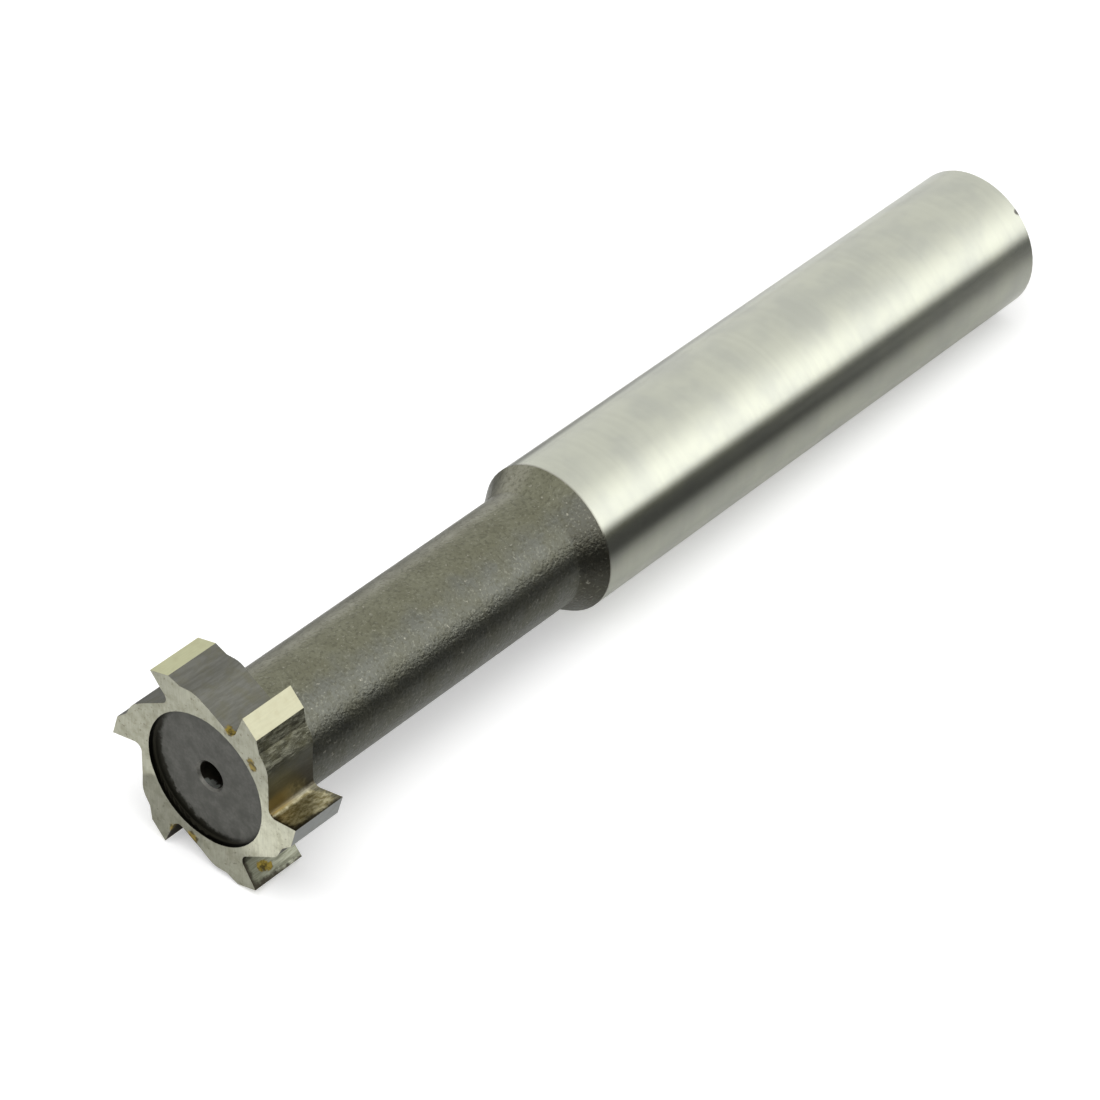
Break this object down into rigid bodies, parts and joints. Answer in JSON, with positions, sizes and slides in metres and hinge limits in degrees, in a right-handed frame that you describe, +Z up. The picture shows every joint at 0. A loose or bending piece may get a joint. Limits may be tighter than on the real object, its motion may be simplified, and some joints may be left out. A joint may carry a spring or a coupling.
{
  "type": "t slot cutter",
  "caption": "Straight-shank T slot milling cutter: a toothed disc head with a recessed front face on a slim neck, with a conical shoulder and a ground cylindrical shank.",
  "frame": {"origin": "on the tool's axis, where the ground shank starts at the shoulder", "axes": "+X along the axis towards the end of the shank, with the toothed head on the -X side; +Z up as the tool lies"},
  "size_m": [0.119, 0.023, 0.0204],
  "materials": {
    "tool_steel": "ground shank, dark unground neck, ground tooth lands"
  },
  "bodies": {
    "root": {"cutter": "tool_steel"}
  },
  "joints": []
}
